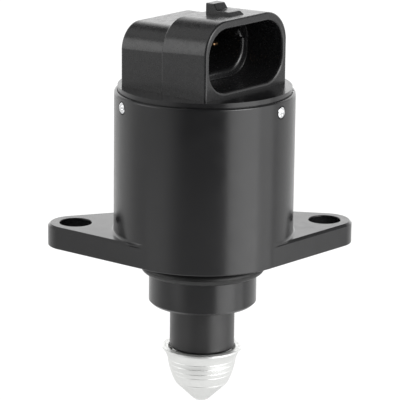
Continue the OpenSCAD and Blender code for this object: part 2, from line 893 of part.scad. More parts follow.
module connector_cap() {
    color("#232324")
        difference() {
            union() {
                cap_body();
                arched_bar(block_w, block_h, block_r, block_back, hood_back - past, block_slope);
                arched_bar(hood_w, hood_h, hood_r, hood_back, -hood_front, hood_slope);
                latch_tab();
            }
            socket_space();
            for (i = [0 : terminal_count - 1]) terminal_form(i, fit);
            // Seat of the rear bush
            translate([0, 0, bush_z]) cylinder(r = bush_d / 2 + fit, h = bush_h + slip);
            at_pins() translate([0, 0, body_r - pin_l - slip]) cylinder(r = pin_d / 2 + fit, h = pin_l + past);
        }
}

// Radial pins with domed heads
module locking_pins() {
    dome = (pin_d * pin_d / 4 + pin_proud * pin_proud) / (2 * pin_proud);
    color("#cfd2d4")
        at_pins()
            translate([0, 0, body_r])
                rotate_extrude()
                    polygon(concat(
                        [[0, -pin_l], [pin_d / 2, -pin_l]],
                        arc(0, pin_proud - dome, dome, asin((dome - pin_proud) / dome), 90, 10)
                    ));
}

housing();
flange_o_ring();
pintle_guide();
pintle();
lead_screw();
anti_backlash_spring();
bearing_outer_race();
bearing_inner_race();
bearing_balls();
bearing_cage();
bearing_retainer();
rotor_hub();
rotor_magnet();
thrust_washer();
rear_bush();
lower_stator_cup();
lower_pole_plate();
lower_bobbin();
lower_coil();
upper_stator_cup();
upper_pole_plate();
upper_bobbin();
upper_coil();
wave_washer();
cap_seal();
connector_cap();
locking_pins();
terminal_a();
terminal_b();
terminal_c();
terminal_d();
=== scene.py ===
# Idle air control valve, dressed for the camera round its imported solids.
# Lengths in the sections are millimetres, turned to metres where a piece is made.

import math

import bpy
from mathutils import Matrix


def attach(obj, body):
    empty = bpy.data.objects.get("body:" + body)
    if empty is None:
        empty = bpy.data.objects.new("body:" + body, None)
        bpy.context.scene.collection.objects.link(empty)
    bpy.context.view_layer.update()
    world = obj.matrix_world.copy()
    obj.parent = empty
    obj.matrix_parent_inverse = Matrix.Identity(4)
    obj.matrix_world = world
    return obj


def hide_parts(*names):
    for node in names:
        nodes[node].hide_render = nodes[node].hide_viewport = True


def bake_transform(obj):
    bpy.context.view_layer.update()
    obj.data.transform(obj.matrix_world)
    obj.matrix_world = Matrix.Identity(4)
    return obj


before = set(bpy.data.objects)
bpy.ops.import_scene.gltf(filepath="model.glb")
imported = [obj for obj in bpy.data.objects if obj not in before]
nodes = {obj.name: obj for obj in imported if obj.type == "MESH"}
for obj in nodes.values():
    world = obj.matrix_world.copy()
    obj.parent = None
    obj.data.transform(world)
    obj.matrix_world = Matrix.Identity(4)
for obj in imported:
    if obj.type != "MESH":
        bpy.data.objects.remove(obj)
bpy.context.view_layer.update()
MM = 0.001

# The camera
# A long lens a little over half a metre away, looking slightly down on the valve. The mouth
# of the connector faces the camera's right.
CAMERA_AZIMUTH = math.radians(-50)
CAMERA_ELEVATION = math.radians(14.8)
CAMERA_ROLL = math.radians(0.69)
CAMERA_DISTANCE = 518.489
CAMERA_TARGET = (-0.461, 0.549, 10.514)
CAMERA_LENS = 236.55

camera_side = (math.sin(CAMERA_AZIMUTH), -math.cos(CAMERA_AZIMUTH), 0)
camera_right = (math.cos(CAMERA_AZIMUTH), math.sin(CAMERA_AZIMUTH), 0)
back = (
    camera_side[0] * math.cos(CAMERA_ELEVATION),
    camera_side[1] * math.cos(CAMERA_ELEVATION),
    math.sin(CAMERA_ELEVATION),
)
place = [(t + b * CAMERA_DISTANCE) * MM for t, b in zip(CAMERA_TARGET, back)]
bpy.ops.object.camera_add(
    location=place,
    rotation=(math.pi / 2 - CAMERA_ELEVATION, 0, CAMERA_AZIMUTH),
)
camera = bpy.context.object
camera.rotation_euler.rotate_axis("Z", CAMERA_ROLL)
camera.data.lens = CAMERA_LENS
camera.data.sensor_width = 36
camera.data.clip_start = 0.02
camera.data.clip_end = 20
bpy.context.scene.camera = camera
bpy.context.scene.view_settings.view_transform = "Standard"

# The floor
# A pale sheet just under the pintle at its full reach. It keeps a soft shadow, is otherwise white,
# and is clear from below, so that the underside can be looked at.
FLOOR_Z = -39.6
FLOOR_SIDE = 12000
FLOOR_COLOUR = (0.90, 0.90, 0.90, 1)
SHADOW_SHARE = 0.14
PAPER_GLOW = 1.10

bpy.ops.mesh.primitive_plane_add(size=FLOOR_SIDE * MM, location=(0, 0, FLOOR_Z * MM))
floor = bpy.context.object
floor.name = "studio_floor"
paper = bpy.data.materials.new("studio_paper")
paper.use_nodes = True
tree = paper.node_tree
matt = tree.nodes["Principled BSDF"]
matt.inputs["Base Color"].default_value = FLOOR_COLOUR
matt.inputs["Roughness"].default_value = 0.8
white = tree.nodes.new("ShaderNodeEmission")
white.inputs["Strength"].default_value = PAPER_GLOW
mix = tree.nodes.new("ShaderNodeMixShader")
seen = tree.nodes.new("ShaderNodeLightPath")
share = tree.nodes.new("ShaderNodeMath")
share.operation = "MULTIPLY"
share.inputs[1].default_value = 1 - SHADOW_SHARE
tree.links.new(seen.outputs["Is Camera Ray"], share.inputs[0])
tree.links.new(share.outputs[0], mix.inputs["Fac"])
tree.links.new(matt.outputs[0], mix.inputs[1])
tree.links.new(white.outputs[0], mix.inputs[2])
under = tree.nodes.new("ShaderNodeNewGeometry")
clear = tree.nodes.new("ShaderNodeBsdfTransparent")
sided = tree.nodes.new("ShaderNodeMixShader")
tree.links.new(under.outputs["Backfacing"], sided.inputs["Fac"])
tree.links.new(mix.outputs[0], sided.inputs[1])
tree.links.new(clear.outputs[0], sided.inputs[2])
tree.links.new(sided.outputs[0], tree.nodes["Material Output"].inputs["Surface"])
floor.data.materials.append(paper)
floor.visible_glossy = False

# The studio round it
# White behind, greyer at the sides and dark where the camera stands, as the black paint shows it.
# The paper close under the valve is white to polished faces that look down on it, and the room
# overhead is dark.
WORLD_FILL = 0.5
ROUND_GLOW = (
    (0.0, 1.0),
    (0.30, 1.0),
    (0.45, 0.80),
    (0.78, 0.72),
    (0.965, 0.03),
)
PAPER_FROM = -0.34
PAPER_TO = -0.58
OVERHEAD_FROM = 0.40
OVERHEAD_TO = 0.68
OVERHEAD_GLOW = 0.10

world = bpy.data.worlds.new("studio")
bpy.context.scene.world = world
world.use_nodes = True
tree = world.node_tree
fill = tree.nodes["Background"]
fill.inputs["Color"].default_value = (1, 1, 1, 1)
fill.inputs["Strength"].default_value = WORLD_FILL
bright = tree.nodes.new("ShaderNodeBackground")
bright.inputs["Color"].default_value = (1, 1, 1, 1)
direction = tree.nodes.new("ShaderNodeTexCoord")
level = tree.nodes.new("ShaderNodeVectorMath")
level.operation = "MULTIPLY"
level.inputs[1].default_value = (1, 1, 0)
unit = tree.nodes.new("ShaderNodeVectorMath")
unit.operation = "NORMALIZE"
towards = tree.nodes.new("ShaderNodeVectorMath")
towards.operation = "DOT_PRODUCT"
towards.inputs[1].default_value = camera_side
share = tree.nodes.new("ShaderNodeMapRange")
share.inputs["From Min"].default_value = -1
share.inputs["From Max"].default_value = 1
ramp = tree.nodes.new("ShaderNodeValToRGB")
ramp.color_ramp.interpolation = "EASE"
while len(ramp.color_ramp.elements) < len(ROUND_GLOW):
    ramp.color_ramp.elements.new(0.5)
for stop, (at, glow) in zip(ramp.color_ramp.elements, ROUND_GLOW):
    stop.position = at
    stop.color = (glow, glow, glow, 1)
height = tree.nodes.new("ShaderNodeSeparateXYZ")
paper_seen = tree.nodes.new("ShaderNodeMapRange")
paper_seen.interpolation_type = "SMOOTHSTEP"
paper_seen.inputs["From Min"].default_value = PAPER_FROM
paper_seen.inputs["From Max"].default_value = PAPER_TO
overhead = tree.nodes.new("ShaderNodeMapRange")
overhead.interpolation_type = "SMOOTHSTEP"
overhead.inputs["From Min"].default_value = OVERHEAD_FROM
overhead.inputs["From Max"].default_value = OVERHEAD_TO
overhead.inputs["To Min"].default_value = 1
overhead.inputs["To Max"].default_value = OVERHEAD_GLOW
dimmed = tree.nodes.new("ShaderNodeMath")
dimmed.operation = "MULTIPLY"
seen = tree.nodes.new("ShaderNodeLightPath")
by_height = tree.nodes.new("ShaderNodeMath")
by_height.operation = "MAXIMUM"
by_side = tree.nodes.new("ShaderNodeMath")
by_side.operation = "MAXIMUM"
either = tree.nodes.new("ShaderNodeMath")
either.operation = "MAXIMUM"
shiny = tree.nodes.new("ShaderNodeMath")
shiny.operation = "MAXIMUM"
mix = tree.nodes.new("ShaderNodeMixShader")
tree.links.new(direction.outputs["Generated"], level.inputs[0])
tree.links.new(level.outputs["Vector"], unit.inputs[0])
tree.links.new(unit.outputs["Vector"], towards.inputs[0])
tree.links.new(towards.outputs["Value"], share.inputs["Value"])
tree.links.new(share.outputs["Result"], ramp.inputs["Fac"])
tree.links.new(direction.outputs["Generated"], height.inputs["Vector"])
tree.links.new(height.outputs["Z"], paper_seen.inputs["Value"])
tree.links.new(height.outputs["Z"], overhead.inputs["Value"])
tree.links.new(ramp.outputs["Color"], dimmed.inputs[0])
tree.links.new(overhead.outputs["Result"], dimmed.inputs[1])
tree.links.new(dimmed.outputs[0], by_height.inputs[0])
tree.links.new(paper_seen.outputs["Result"], by_height.inputs[1])
tree.links.new(by_height.outputs[0], by_side.inputs[0])
tree.links.new(seen.outputs["Is Camera Ray"], by_side.inputs[1])
tree.links.new(by_side.outputs[0], bright.inputs["Strength"])
tree.links.new(seen.outputs["Is Glossy Ray"], shiny.inputs[0])
tree.links.new(seen.outputs["Is Transmission Ray"], shiny.inputs[1])
tree.links.new(seen.outputs["Is Camera Ray"], either.inputs[0])
tree.links.new(shiny.outputs[0], either.inputs[1])
tree.links.new(either.outputs[0], mix.inputs["Fac"])
tree.links.new(fill.outputs[0], mix.inputs[1])
tree.links.new(bright.outputs[0], mix.inputs[2])
tree.links.new(mix.outputs[0], tree.nodes["World Output"].inputs["Surface"])


# The lamps
# Two tall soft boxes at the camera's right with a small bright one over them, a low one at its
# left with a weak one over it, one behind, one overhead, and a card in front of the valve.
def soft_box(name, turn, distance, height, wide, tall, watts):
    side = [
        s * math.cos(math.radians(turn)) + r * math.sin(math.radians(turn))
        for s, r in zip(camera_side, camera_right)
    ]
    bpy.ops.object.light_add(
        type="AREA",
        location=(side[0] * distance, side[1] * distance, height),
        rotation=(
            math.pi / 2 - math.atan2(height, distance),
            0,
            math.atan2(side[1], side[0]) + math.pi / 2,
        ),
    )
    lamp = bpy.context.object
    lamp.name = name
    lamp.data.shape = "RECTANGLE"
    lamp.data.size = wide
    lamp.data.size_y = tall
    lamp.data.energy = watts
    lamp.visible_camera = False
    return lamp


soft_box("right_box", 50, 0.7, 0.115, 0.56, 1.07, 3.8)
soft_box("key_box", 50, 0.66, 0.36, 0.34, 0.38, 2.6)
soft_box("side_box", 82, 0.7, 0.115, 0.36, 1.07, 1.35)
soft_box("left_top_box", -85, 0.42, 0.62, 0.8, 0.5, 0.9)
soft_box("left_box", -80, 0.8, 0.21, 0.5, 0.46, 1.25)
soft_box("back_box", 180, 1.0, 0.25, 1.6, 0.9, 3.6)
top_box = soft_box("top_box", 160, 0.35, 0.8, 0.6, 0.6, 1.2)
top_box.visible_glossy = False
near_card = soft_box("near_card", 0, 0.125, -0.03, 0.36, 0.17, 0.078)
near_card.rotation_euler.x = math.pi


# The housing
# One machined and painted light-alloy casting: round body, bolted flange with two ears, and the
# spigot that enters the intake. Its edges are broken and its black paint is half gloss.
BODY_R = 17.75
BODY_H = 32.8
CHAMBER_R = 16.0
RIM_BORE_R = 16.95
RIM_SEAT_Z = 27.7
FLOOR_T = 3.0
SPIGOT_R = 10.7
SPIGOT_END_Z = -10.2
GROOVE_R = 10.15
GROOVE_W = 3.8
SEAT_R = 8.02
SEAT_Z = -8.8
NOSE_R = 6.47
EAR_T = 4.5
EAR_R = 5.5
EAR_PLACES = ((22.274, -13.081), (-13.081, 22.274))
EAR_FILLET = 0.5
EAR_EDGE = 0.5
EAR_UNDER_EDGE = 0.2
HOLE_R = 3.2
HOLE_EDGE = 0.2
RELIEF_R = 13.0
RELIEF_DEPTH = 0.3
RIM_ROUND = 0.42
FOOT_ROUND = 0.2
PIN_TURNS = (-84, 36, 156)
PIN_Z = 30.65
PIN_R = 1.1
PIN_L = 2.6
PIN_GAP = 0.2
ROUND = 192


def only(piece):
    bpy.ops.object.select_all(action="DESELECT")
    piece.select_set(True)
    bpy.context.view_layer.objects.active = piece


def turned(name, profile, sides=ROUND):
    """A closed ring or solid turned about the axis, from its section as (radius, height)."""
    bpy.ops.object.select_all(action="DESELECT")
    r, z = profile[0]
    bpy.ops.mesh.primitive_circle_add(
        vertices=sides, radius=r * MM, location=(0, 0, z * MM)
    )
    piece = bpy.context.object
    piece.name = name
    bpy.ops.object.mode_set(mode="EDIT")
    for r_next, z_next in list(profile[1:]) + [profile[0]]:
        bpy.ops.mesh.extrude_region_move(
            TRANSFORM_OT_translate={"value": (0, 0, (z_next - z) * MM)}
        )
        grow = r_next / r
        bpy.ops.transform.resize(
            value=(grow, grow, 1), center_override=(0, 0, z_next * MM)
        )
        r, z = r_next, z_next
    bpy.ops.mesh.select_all(action="SELECT")
    bpy.ops.mesh.remove_doubles(threshold=1e-6)
    bpy.ops.mesh.normals_make_consistent(inside=False)
    bpy.ops.object.mode_set(mode="OBJECT")
    bpy.ops.object.transform_apply()
    return piece


def boolean(piece, tool, operation):
    """Adds a tool's solid to a piece, or cuts it out, and removes the tool."""
    only(piece)
    change = piece.modifiers.new(operation.lower(), "BOOLEAN")
    change.operation = operation
    change.object = tool
    change.solver = "EXACT"
    bpy.ops.object.modifier_apply(modifier=change.name)
    bpy.data.objects.remove(tool)


def disc(radius, low, high, place=(0, 0), sides=96):
    bpy.ops.object.select_all(action="DESELECT")
    bpy.ops.mesh.primitive_cylinder_add(
        vertices=sides,
        radius=radius * MM,
        depth=(high - low) * MM,
        location=(place[0] * MM, place[1] * MM, (low + high) / 2 * MM),
    )
    bpy.ops.object.transform_apply()
    return bpy.context.object


def smooth(piece, angle=32, crease=None):
    """Smooth shading that keeps flat faces flat, and sharp where edges pass a test."""
    only(piece)
    bpy.ops.object.shade_smooth_by_angle(angle=math.radians(angle))
    if crease:
        points = piece.data.vertices
        for edge in piece.data.edges:
            a, b = (points[i].co / MM for i in edge.vertices)
            if crease((a + b) / 2, b - a):
                edge.use_edge_sharp = True
    flat = piece.modifiers.new("flat_faces", "WEIGHTED_NORMAL")
    flat.keep_sharp = True
    bpy.ops.object.modifier_apply(modifier=flat.name)


def arc(r, z, radius, start, stop, steps):
    turns = [math.radians(start + (stop - start) * i / steps) for i in range(steps + 1)]
    return [(r + radius * math.cos(t), z + radius * math.sin(t)) for t in turns]


def bevel_where(piece, test, width, segments):
    """Rounds the edges whose middle and direction pass a test, both in millimetres."""
    only(piece)
    bpy.ops.object.mode_set(mode="EDIT")
    bpy.ops.mesh.select_mode(type="EDGE")
    bpy.ops.mesh.select_all(action="DESELECT")
    bpy.ops.object.mode_set(mode="OBJECT")
    points = piece.data.vertices
    for edge in piece.data.edges:
        a, b = (points[i].co / MM for i in edge.vertices)
        edge.select = test((a + b) / 2, b - a)
    bpy.ops.object.mode_set(mode="EDIT")
    bpy.ops.mesh.bevel(offset=width * MM, segments=segments, affect="EDGES")
    bpy.ops.object.mode_set(mode="OBJECT")


def ear(low, high, place):
    """One ear's outline between two heights, stretched from the body to the ear's round end."""
    web = disc(BODY_R - 0.02, low, high, sides=ROUND)
    end = disc(EAR_R, low, high, place)
    only(web)
    end.select_set(True)
    bpy.ops.object.join()
    bpy.ops.object.mode_set(mode="EDIT")
    bpy.ops.mesh.select_all(action="SELECT")
    bpy.ops.mesh.convex_hull()
    bpy.ops.mesh.select_all(action="SELECT")
    bpy.ops.mesh.dissolve_limited(angle_limit=math.radians(0.4))
    bpy.ops.object.mode_set(mode="OBJECT")
    return web


TINY = 0.02
housing = turned(
    "housing_casting",
    [
        (TINY, SPIGOT_END_Z),
        (SPIGOT_R - 0.5, SPIGOT_END_Z),
        (SPIGOT_R, SPIGOT_END_Z + 0.5),
        (SPIGOT_R, -GROOVE_W),
        (GROOVE_R, -GROOVE_W),
        (GROOVE_R, 0),
    ]
    + arc(BODY_R - FOOT_ROUND, FOOT_ROUND, FOOT_ROUND, -90, 0, 4)
    + [(BODY_R, EAR_T + 1)]
    + arc(BODY_R - RIM_ROUND, BODY_H - RIM_ROUND, RIM_ROUND, 0, 90, 6)
    + [(TINY, BODY_H)],
)
for ear_place in EAR_PLACES:
    web = ear(0, EAR_T, ear_place)
    bevel_where(web, lambda m, d: m.z > EAR_T - 0.01, EAR_EDGE, 1)
    bevel_where(web, lambda m, d: m.z < 0.01, EAR_UNDER_EDGE, 3)
    boolean(housing, web, "UNION")
    fillet = turned(
        "fillet",
        [(BODY_R - 0.3, EAR_T - 0.3), (BODY_R + EAR_FILLET, EAR_T - 0.3)]
        + arc(BODY_R + EAR_FILLET, EAR_T + EAR_FILLET, EAR_FILLET, 270, 180, 8)
        + [(BODY_R - 0.3, EAR_T + EAR_FILLET)],
    )
    boolean(fillet, ear(EAR_T - 1, EAR_T + EAR_FILLET + 1, ear_place), "INTERSECT")
    boolean(housing, fillet, "UNION")
relief_cut = turned(
    "relief_cut",
    [(GROOVE_R, -1), (RELIEF_R, -1), (RELIEF_R, RELIEF_DEPTH), (GROOVE_R, RELIEF_DEPTH)],
)
boolean(housing, relief_cut, "DIFFERENCE")
bore = turned(
    "bore",
    [
        (NOSE_R, SPIGOT_END_Z - 1),
        (NOSE_R, SEAT_Z),
        (SEAT_R, SEAT_Z),
        (SEAT_R, FLOOR_T),
        (CHAMBER_R, FLOOR_T),
        (CHAMBER_R, RIM_SEAT_Z),
        (RIM_BORE_R, RIM_SEAT_Z),
        (RIM_BORE_R, BODY_H - 0.12),
        (RIM_BORE_R + 0.12, BODY_H),
        (RIM_BORE_R + 0.12, BODY_H + 1),
        (TINY, BODY_H + 1),
        (TINY, SPIGOT_END_Z - 1),
    ],
)
boolean(housing, bore, "DIFFERENCE")
for x, y in EAR_PLACES:
    boolean(housing, disc(HOLE_R, -1, EAR_T + 1, (x, y)), "DIFFERENCE")
    bevel_where(
        housing,
        lambda m, d: m.z > EAR_T - 0.01
        and abs(d.z) < 0.01
        and abs(math.hypot(m.x - x, m.y - y) - HOLE_R) < 0.05,
        HOLE_EDGE,
        3,
    )
for turn in PIN_TURNS:
    bpy.ops.object.select_all(action="DESELECT")
    bpy.ops.mesh.primitive_cylinder_add(
        vertices=48,
        radius=(PIN_R + PIN_GAP) * MM,
        depth=2 * PIN_L * MM,
        location=(
            BODY_R * math.cos(math.radians(turn)) * MM,
            BODY_R * math.sin(math.radians(turn)) * MM,
            PIN_Z * MM,
        ),
        rotation=(0, math.pi / 2, math.radians(turn)),
    )
    bpy.ops.object.transform_apply()
    boolean(housing, bpy.context.object, "DIFFERENCE")


def texture(tree, place, size, detail=3.0, rough=0.55):
    """Noise whose lumps are about size millimetres across."""
    made = tree.nodes.new("ShaderNodeTexNoise")
    made.inputs["Scale"].default_value = 1 / (size * MM)
    made.inputs["Detail"].default_value = detail
    made.inputs["Roughness"].default_value = rough
    tree.links.new(place, made.inputs["Vector"])
    return made.outputs["Fac"]


def ranged(tree, value, low, high, from_low=0.3, from_high=0.7):
    made = tree.nodes.new("ShaderNodeMapRange")
    made.inputs["From Min"].default_value = from_low
    made.inputs["From Max"].default_value = from_high
    made.inputs["To Min"].default_value = low
    made.inputs["To Max"].default_value = high
    tree.links.new(value, made.inputs["Value"])
    return made.outputs["Result"]


def blended(tree, factor, first, second):
    made = tree.nodes.new("ShaderNodeMix")
    made.data_type = "RGBA"
    tree.links.new(factor, made.inputs["Factor"])
    for socket, colour in ((made.inputs["A"], first), (made.inputs["B"], second)):
        if isinstance(colour, tuple):
            socket.default_value = (*colour, 1)
        else:
            tree.links.new(colour, socket)
    return made.outputs["Result"]


def bumped(tree, shader, height, depth, under=None):
    """Relief on a shader, depth millimetres high, over an earlier relief if there is one."""
    made = tree.nodes.new("ShaderNodeBump")
    made.inputs["Distance"].default_value = depth * MM
    tree.links.new(height, made.inputs["Height"])
    if under:
        tree.links.new(under, made.inputs["Normal"])
    tree.links.new(made.outputs["Normal"], shader.inputs["Normal"])
    return made.outputs["Normal"]


def finish(name, dark, light, rough, patch, grain, depth, metallic=0.0):
    """Surface whose colour and gloss drift over patches, with a fine grain. rough is a pair."""
    made = bpy.data.materials.new(name)
    made.use_nodes = True
    tree = made.node_tree
    shader = tree.nodes["Principled BSDF"]
    shader.inputs["Metallic"].default_value = metallic
    place = tree.nodes.new("ShaderNodeTexCoord").outputs["Object"]
    patches = texture(tree, place, patch)
    tree.links.new(blended(tree, patches, dark, light), shader.inputs["Base Color"])
    gloss = ranged(tree, texture(tree, place, patch / 3), *rough)
    tree.links.new(gloss, shader.inputs["Roughness"])
    relief = bumped(tree, shader, texture(tree, place, grain), depth)
    return made, tree, shader, place, relief


def painted(piece, material):
    piece.data.materials.clear()
    piece.data.materials.append(material)


paint, tree, shader, place, relief = finish(
    "black_paint", (0.0055, 0.0055, 0.006), (0.0088, 0.0088, 0.0093), (0.20, 0.27), 9, 0.45, 0.0035
)
painted(housing, paint)
smooth(housing)
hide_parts("housing")
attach(housing, "valve_body")


# The ring
# A round-section rubber ring that fills the groove under the flange. It has the thin flash
# line of its mould round the middle.
RING_R = 11.27
RING_SECTION_R = 1.1
RING_Z = -2.7
FLASH = 0.05

bpy.ops.object.select_all(action="DESELECT")
bpy.ops.mesh.primitive_torus_add(
    major_segments=ROUND,
    minor_segments=36,
    major_radius=RING_R * MM,
    minor_radius=RING_SECTION_R * MM,
    location=(0, 0, RING_Z * MM),
)
ring = bpy.context.object
ring.name = "rubber_ring"
bpy.ops.object.transform_apply()
bpy.ops.object.mode_set(mode="EDIT")
bpy.ops.mesh.select_all(action="DESELECT")
bpy.ops.object.mode_set(mode="OBJECT")
for v in ring.data.vertices:
    v.select = abs(v.co.z - RING_Z * MM) < 1e-6
bpy.ops.object.mode_set(mode="EDIT")
bpy.ops.mesh.select_mode(type="VERT")
bpy.ops.mesh.bevel(offset=0.06 * MM, segments=2, affect="EDGES")
bpy.ops.object.mode_set(mode="OBJECT")
for v in ring.data.vertices:
    out = math.hypot(v.co.x, v.co.y)
    if abs(v.co.z - RING_Z * MM) < 0.01 * MM and out > RING_R * MM:
        v.co.x *= 1 + FLASH * MM / out
        v.co.y *= 1 + FLASH * MM / out
rubber, tree, shader, place, relief = finish(
    "black_rubber", (0.006, 0.006, 0.006), (0.014, 0.014, 0.014), (0.42, 0.58), 3, 0.12, 0.004
)
painted(ring, rubber)
smooth(ring, 60)
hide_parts("flange_o_ring")
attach(ring, "valve_body")

# The pintle guide
# A moulded plastic sleeve held in the spigot. The key in its web keeps the screw from turning.
GUIDE_R = 6.45
GUIDE_END_Z = -19.6
GUIDE_BORE_R = 5.3
WEB_Z = -9.5
WEB_TOP_Z = -6.8
SCREW_R = 2.45
SCREW_FLAT = 1.9
SCREW_CLEAR = 0.05
GUIDE_TOP_R = 8.0

guide = turned(
    "guide_sleeve",
    [
        (GUIDE_BORE_R + 0.15, GUIDE_END_Z),
        (GUIDE_R - 0.5, GUIDE_END_Z),
        (GUIDE_R - 0.22, GUIDE_END_Z + 0.12),
        (GUIDE_R - 0.06, GUIDE_END_Z + 0.32),
        (GUIDE_R, GUIDE_END_Z + 0.55),
        (GUIDE_R, SEAT_Z),
        (GUIDE_TOP_R, SEAT_Z),
        (GUIDE_TOP_R, WEB_TOP_Z),
        (SCREW_R + SCREW_CLEAR, WEB_TOP_Z),
        (SCREW_R + SCREW_CLEAR, WEB_Z),
        (GUIDE_BORE_R, WEB_Z),
        (GUIDE_BORE_R, GUIDE_END_Z + 0.15),
    ],
)
KEY_W = SCREW_R + SCREW_CLEAR
bpy.ops.object.select_all(action="DESELECT")
bpy.ops.mesh.primitive_cube_add(
    size=1,
    location=(0, (SCREW_FLAT + SCREW_CLEAR + 3.2) / 2 * MM, (WEB_Z + WEB_TOP_Z) / 2 * MM),
    scale=(2 * KEY_W * MM, (3.2 - SCREW_FLAT - SCREW_CLEAR) * MM, (WEB_TOP_Z - WEB_Z) * MM),
)
bpy.ops.object.transform_apply()
boolean(guide, bpy.context.object, "UNION")
sleeve_plastic, tree, shader, place, relief = finish(
    "guide_plastic", (0.012, 0.012, 0.0125), (0.020, 0.0195, 0.0195), (0.30, 0.40), 6, 0.5, 0.004
)
painted(guide, sleeve_plastic)
smooth(guide)
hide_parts("pintle_guide")
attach(guide, "valve_body")

# The pintle
# Turned from bright aluminium bar: a thin lip with a shallow dish inside it, a hollow flare,
# a bulging side and a cone. The tool has left fine rings all the way down.
LIP_R = 7.95
LIP_Z = -19.4
DISH_R = 6.75
DISH_DEPTH = 1.3
NECK_R = 6.8
NECK_LEAN = 8
FLARE_Z = -19.8
NECK_Z = -22.3
SHOULDER_R = 5.25
SHOULDER_Z = -27.0
CONE = 46
TIP_R = 2.6
SCREW_HOLD = 6.6
LINE_STEP = 0.16
LINE_DEPTH = 0.02
MARKS = (-20.75, -21.7, -22.7, -23.8, -24.7, -25.7, -26.6)
MARK_DEPTH = 0.022


def lined(path, step, depth):
    """The same path with a shallow tool mark at each step along it."""
    out = [path[0]]
    carried = 0.0
    up = False
    for (r0, z0), (r1, z1) in zip(path, path[1:]):
        length = math.hypot(r1 - r0, z1 - z0)
        if length == 0:
            continue
        normal = ((z0 - z1) / length, (r1 - r0) / length)
        at = step / 2 - carried
        while at < length:
            share = at / length
            lift = -depth if up else 0
            out.append(
                (
                    r0 + (r1 - r0) * share + normal[0] * lift,
                    z0 + (z1 - z0) * share + normal[1] * lift,
                )
            )
            up = not up
            at += step / 2
        carried = (carried + length) % (step / 2)
    out.append(path[-1])
    return out


lip_lean = 2 * math.degrees(math.atan((LIP_R - NECK_R) / (FLARE_Z - NECK_Z))) - NECK_LEAN
flare_radius = (FLARE_Z - NECK_Z) / (
    math.sin(math.radians(lip_lean)) - math.sin(math.radians(NECK_LEAN))
)
foot_lean = 2 * math.degrees(math.atan((NECK_R - SHOULDER_R) / (NECK_Z - SHOULDER_Z))) - NECK_LEAN
bulge_radius = (NECK_Z - SHOULDER_Z) / (
    math.sin(math.radians(foot_lean)) - math.sin(math.radians(NECK_LEAN))
)
tip_z = (
    SHOULDER_Z
    - (SHOULDER_R - TIP_R * math.cos(math.radians(CONE))) / math.tan(math.radians(CONE))
    + TIP_R * math.sin(math.radians(CONE))
)
side = [(LIP_R, FLARE_Z)]
side += arc(
    NECK_R + flare_radius * math.cos(math.radians(NECK_LEAN)),
    NECK_Z - flare_radius * math.sin(math.radians(NECK_LEAN)),
    flare_radius,
    180 - lip_lean,
    180 - NECK_LEAN,
    16,
)
side += arc(
    NECK_R - bulge_radius * math.cos(math.radians(NECK_LEAN)),
    NECK_Z + bulge_radius * math.sin(math.radians(NECK_LEAN)),
    bulge_radius,
    -NECK_LEAN,
    -foot_lean,
    20,
)
tip = arc(0, tip_z, TIP_R, -CONE, -89.5, 14)
side.append(tip[0])
profile = [
    (SCREW_R + 0.02, LIP_Z - DISH_DEPTH),
    (DISH_R - DISH_DEPTH / 2, LIP_Z - DISH_DEPTH),
    (DISH_R - 0.03, LIP_Z - 0.06),
    (DISH_R + 0.05, LIP_Z),
    (DISH_R + 0.42, LIP_Z),
    (DISH_R + 0.5, LIP_Z - 0.07),
    (DISH_R + 0.58, LIP_Z),
    (LIP_R - 0.1, LIP_Z),
    (LIP_R, LIP_Z - 0.1),
]
for r, z in lined(side, LINE_STEP, LINE_DEPTH):
    marked = any(abs(z - mark) < 0.06 for mark in MARKS)
    profile.append((r - MARK_DEPTH * marked, z))
profile += tip[1:-1]
profile += [(TINY, tip_z - TIP_R)]
profile += [(TINY, LIP_Z - DISH_DEPTH - SCREW_HOLD), (SCREW_R + 0.02, LIP_Z - DISH_DEPTH - SCREW_HOLD)]
pintle = turned("pintle_valve", profile, sides=128)
turned_metal, tree, shader, place, relief = finish(
    "turned_aluminium", (0.75, 0.756, 0.742), (0.845, 0.85, 0.835), (0.36, 0.48), 2.5, 0.2, 0.003, metallic=1.0
)
painted(pintle, turned_metal)
smooth(pintle, 40)
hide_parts("pintle")
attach(pintle, "stem")


# The lead screw
# A ground steel bar, pressed into the pintle, with a fine thread and one flat for the guide's
# key. The rotor turns round it and moves it a millimetre each turn.
SCREW_LOW_Z = -27.3
SCREW_TOP_Z = 24.3
SCREW_FLAT_Z = -20.6
THREAD_PITCH = 1.0
THREAD_DEPTH = 0.24
THREAD_STEP = 0.125

screw_path = [(TINY, SCREW_LOW_Z), (SCREW_R, SCREW_LOW_Z), (SCREW_R, SCREW_FLAT_Z)]
steps = round((SCREW_TOP_Z - 0.4 - SCREW_FLAT_Z) / THREAD_STEP)
screw_path += [(SCREW_R, SCREW_FLAT_Z + THREAD_STEP * (i + 1)) for i in range(steps)]
screw_path += [(SCREW_R - 0.4, SCREW_TOP_Z), (TINY, SCREW_TOP_Z)]
screw = turned("threaded_screw", screw_path, sides=48)
for v in screw.data.vertices:
    x, y, z = v.co / MM
    out = math.hypot(x, y)
    if out > SCREW_R - 0.1 and SCREW_FLAT_Z + 0.5 < z < SCREW_TOP_Z - 0.3:
        turn = (z / THREAD_PITCH - math.atan2(y, x) / (2 * math.pi)) % 1
        cut = THREAD_DEPTH * min(1, max(0, 1.6 - 4 * abs(turn - 0.5)))
        v.co.x *= (out - cut) / out
        v.co.y *= (out - cut) / out
    if z > SCREW_FLAT_Z - 0.01:
        v.co.y = min(v.co.y, SCREW_FLAT * MM)
ground_steel, tree, shader, place, relief = finish(
    "screw_steel", (0.42, 0.43, 0.45), (0.56, 0.57, 0.58), (0.20, 0.32), 3, 0.15, 0.002, metallic=1.0
)
painted(screw, ground_steel)
smooth(screw, 35)
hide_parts("lead_screw")
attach(screw, "stem")

